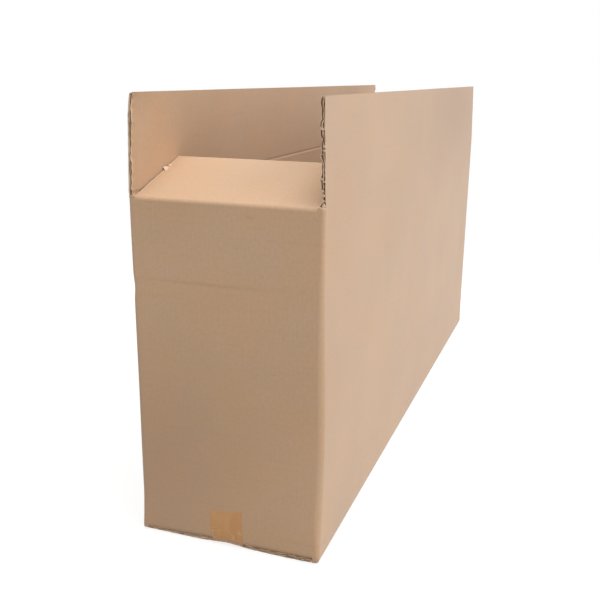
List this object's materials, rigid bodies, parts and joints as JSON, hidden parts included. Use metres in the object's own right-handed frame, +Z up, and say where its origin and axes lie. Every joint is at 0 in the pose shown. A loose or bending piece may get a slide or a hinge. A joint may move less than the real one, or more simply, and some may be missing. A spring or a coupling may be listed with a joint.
{
  "type": "corrugated carton",
  "caption": "Tall, long and narrow open shipping carton of double-wall corrugated board, with hinged top flaps and a taped floor.",
  "frame": {"origin": "middle of the carton's footprint, on the floor it stands on", "axes": "+Z up, +Y along the long side walls, +X across the short end walls"},
  "size_m": [0.27, 1.2202, 0.6215],
  "materials": {
    "board": "plain brown kraft, matt",
    "tape": "brown packing tape, slightly glossy"
  },
  "bodies": {
    "carton": {"carton_body": "board", "bottom_tape": "tape"},
    "top_flap_left": {"top_flap_left": "board"},
    "top_flap_right": {"top_flap_right": "board"},
    "top_flap_near": {"top_flap_near": "board"},
    "top_flap_far": {"top_flap_far": "board"}
  },
  "joints": [
    {"name": "top_flap_left_fold", "type": "hinge", "parent": "carton", "child": "top_flap_left", "pos_m": [-0.1315, 0, 0.494], "axis": [0, -1, 0], "range_deg": [-3, 106.5]},
    {"name": "top_flap_right_fold", "type": "hinge", "parent": "carton", "child": "top_flap_right", "pos_m": [0.1315, 0, 0.494], "axis": [0, 1, 0], "range_deg": [-3, 106.5]},
    {"name": "top_flap_near_fold", "type": "hinge", "parent": "carton", "child": "top_flap_near", "pos_m": [0, -0.6065, 0.486], "axis": [1, 0, 0], "range_deg": [-19, 176]},
    {"name": "top_flap_far_fold", "type": "hinge", "parent": "carton", "child": "top_flap_far", "pos_m": [0, 0.6065, 0.486], "axis": [-1, 0, 0], "range_deg": [-19, 176]}
  ]
}
